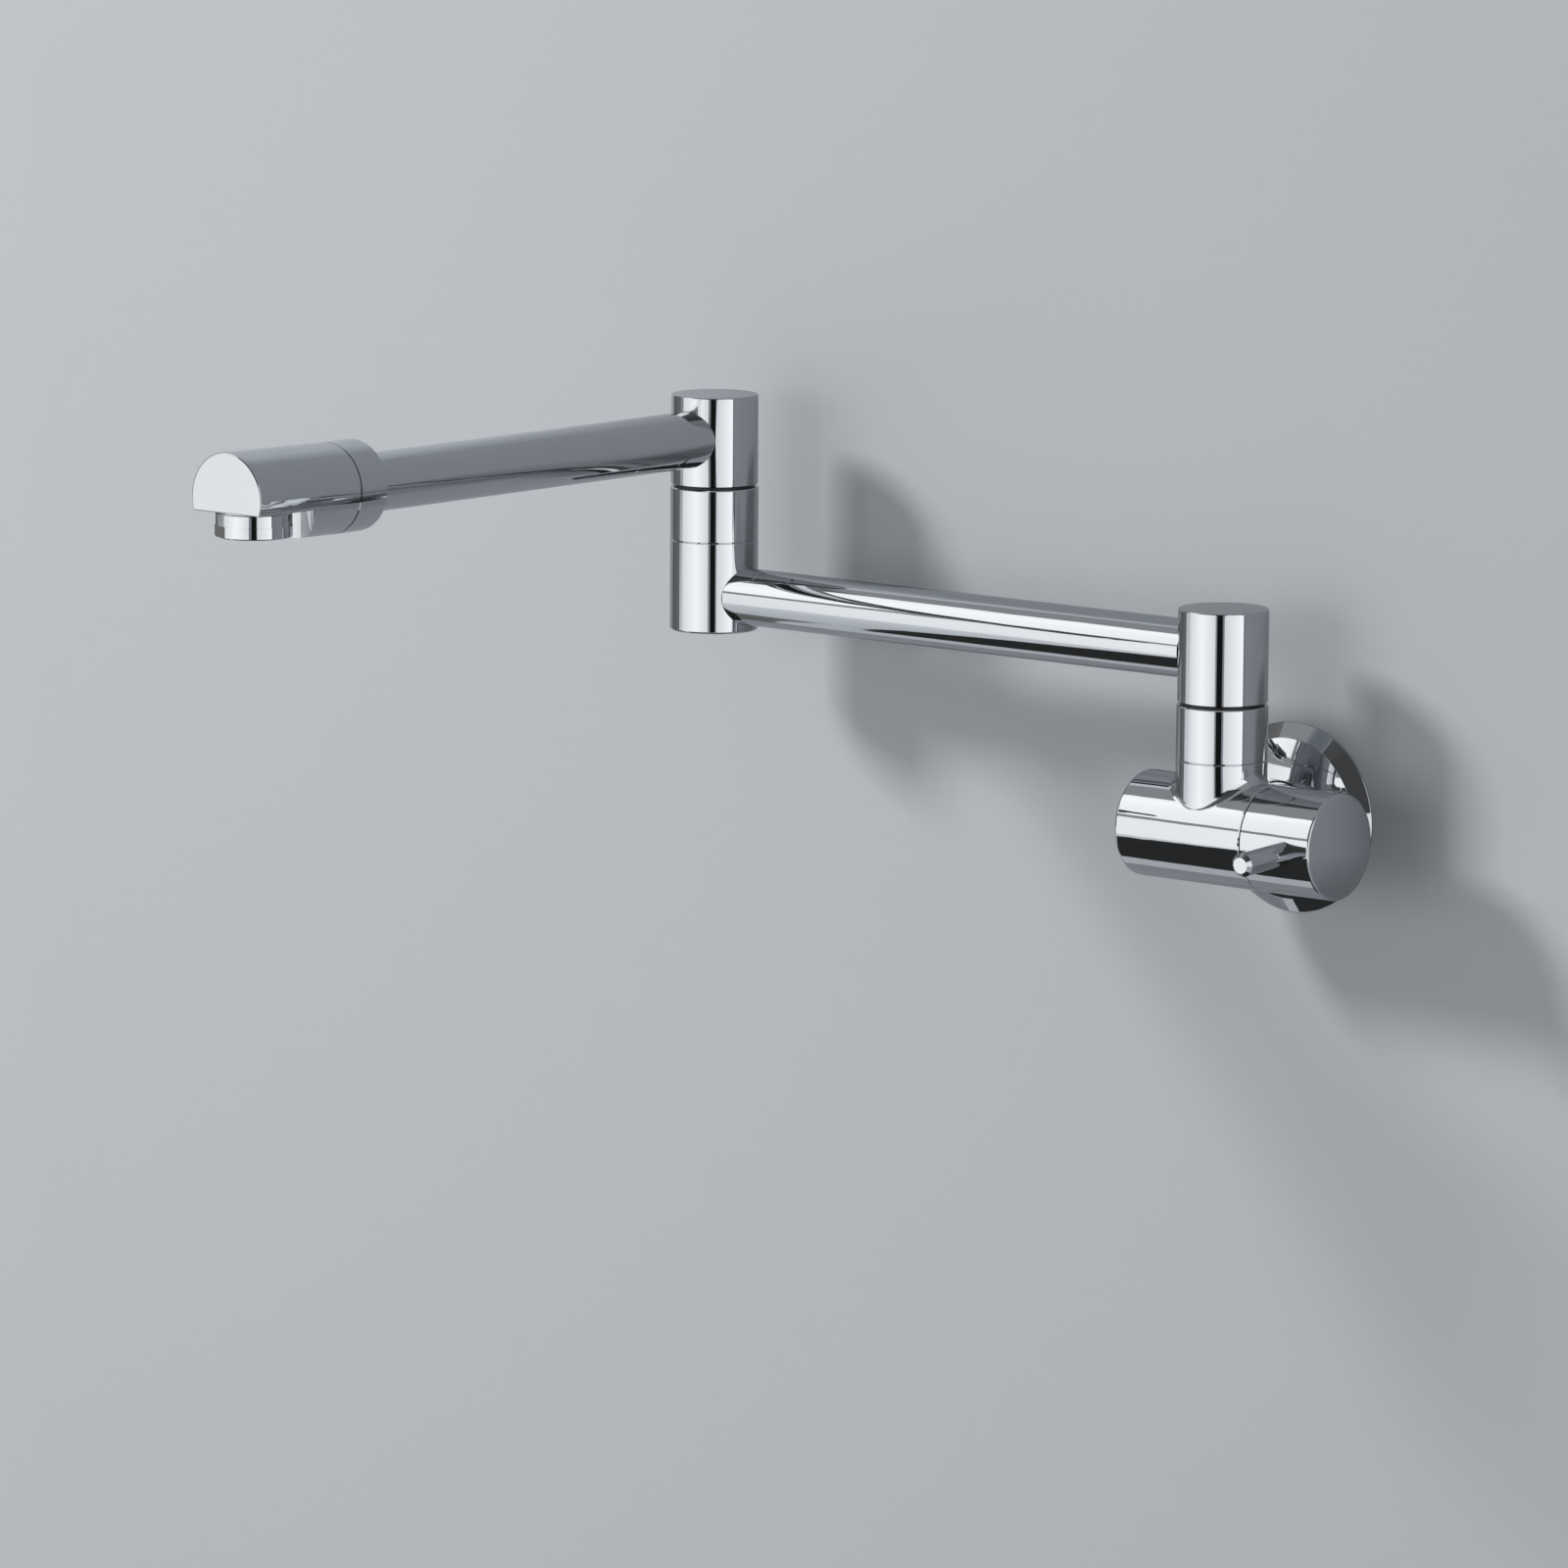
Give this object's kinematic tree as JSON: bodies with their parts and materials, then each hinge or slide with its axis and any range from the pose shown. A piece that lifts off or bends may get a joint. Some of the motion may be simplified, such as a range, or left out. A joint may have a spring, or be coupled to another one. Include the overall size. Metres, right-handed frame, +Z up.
{
  "type": "wall mounted pot filler tap",
  "caption": "Wall mounted pot filler: quarter turn valve with pin lever, swivelling lower arm, swivelling upper arm and cut-away spout with aerator.",
  "frame": {"origin": "on the inlet axis, in the plane of the finished wall", "axes": "+X to the right along the wall, towards the handle; +Y into the wall; +Z up. At rest the lower arm lies along -X and the upper arm along -Y."},
  "size_m": [0.2886, 0.3082, 0.1652],
  "materials": {
    "chrome": "polished",
    "brass": "machined",
    "rubber": "matte",
    "ceramic": "lapped",
    "plastic": "moulded",
    "dark_plastic": "moulded",
    "steel": "plain"
  },
  "bodies": {
    "valve": {"wall_flange": "chrome", "flange_grip_ring": "rubber", "wall_gasket": "rubber", "inlet_nipple": "brass", "nipple_washer": "rubber", "inlet_strainer": "steel", "valve_body": "chrome", "cartridge_body": "brass", "cartridge_seat_seal": "rubber", "cartridge_o_ring": "rubber", "fixed_disc": "ceramic", "lower_collar": "chrome", "lower_glide_washer": "dark_plastic"},
    "handle": {"handle_barrel": "chrome", "handle_lever": "chrome", "handle_screw": "steel", "cartridge_spindle": "brass", "moving_disc": "ceramic", "spindle_washer": "plastic", "spindle_o_rings": "rubber", "spindle_clip": "steel"},
    "lower_arm": {"lower_stem": "brass", "lower_stem_o_rings": "rubber", "lower_stem_clip": "steel", "wall_knuckle": "chrome", "lower_arm_tube": "chrome", "elbow_knuckle": "chrome", "upper_collar": "chrome", "upper_glide_washer": "dark_plastic"},
    "upper_arm": {"upper_stem": "brass", "upper_stem_o_rings": "rubber", "upper_stem_clip": "steel", "upper_knuckle": "chrome", "upper_arm_tube": "chrome", "spout_collar": "chrome", "spout_o_ring": "rubber", "spout_head": "chrome", "aerator_housing": "chrome", "aerator_washer": "rubber", "aerator_insert": "plastic", "aerator_diffuser": "plastic", "aerator_screen": "steel"}
  },
  "joints": [
    {"name": "handle_turn", "type": "hinge", "parent": "valve", "child": "handle", "pos_m": [0, -0.042, 0], "axis": [1, 0, 0], "range_deg": [-90, 0]},
    {"name": "lower_swivel", "type": "hinge", "parent": "valve", "child": "lower_arm", "pos_m": [0, -0.042, 0], "axis": [0, 0, 1], "range_deg": [-5, 185]},
    {"name": "upper_swivel", "type": "hinge", "parent": "lower_arm", "child": "upper_arm", "pos_m": [-0.2235, -0.042, 0], "axis": [0, 0, 1], "continuous": true}
  ]
}
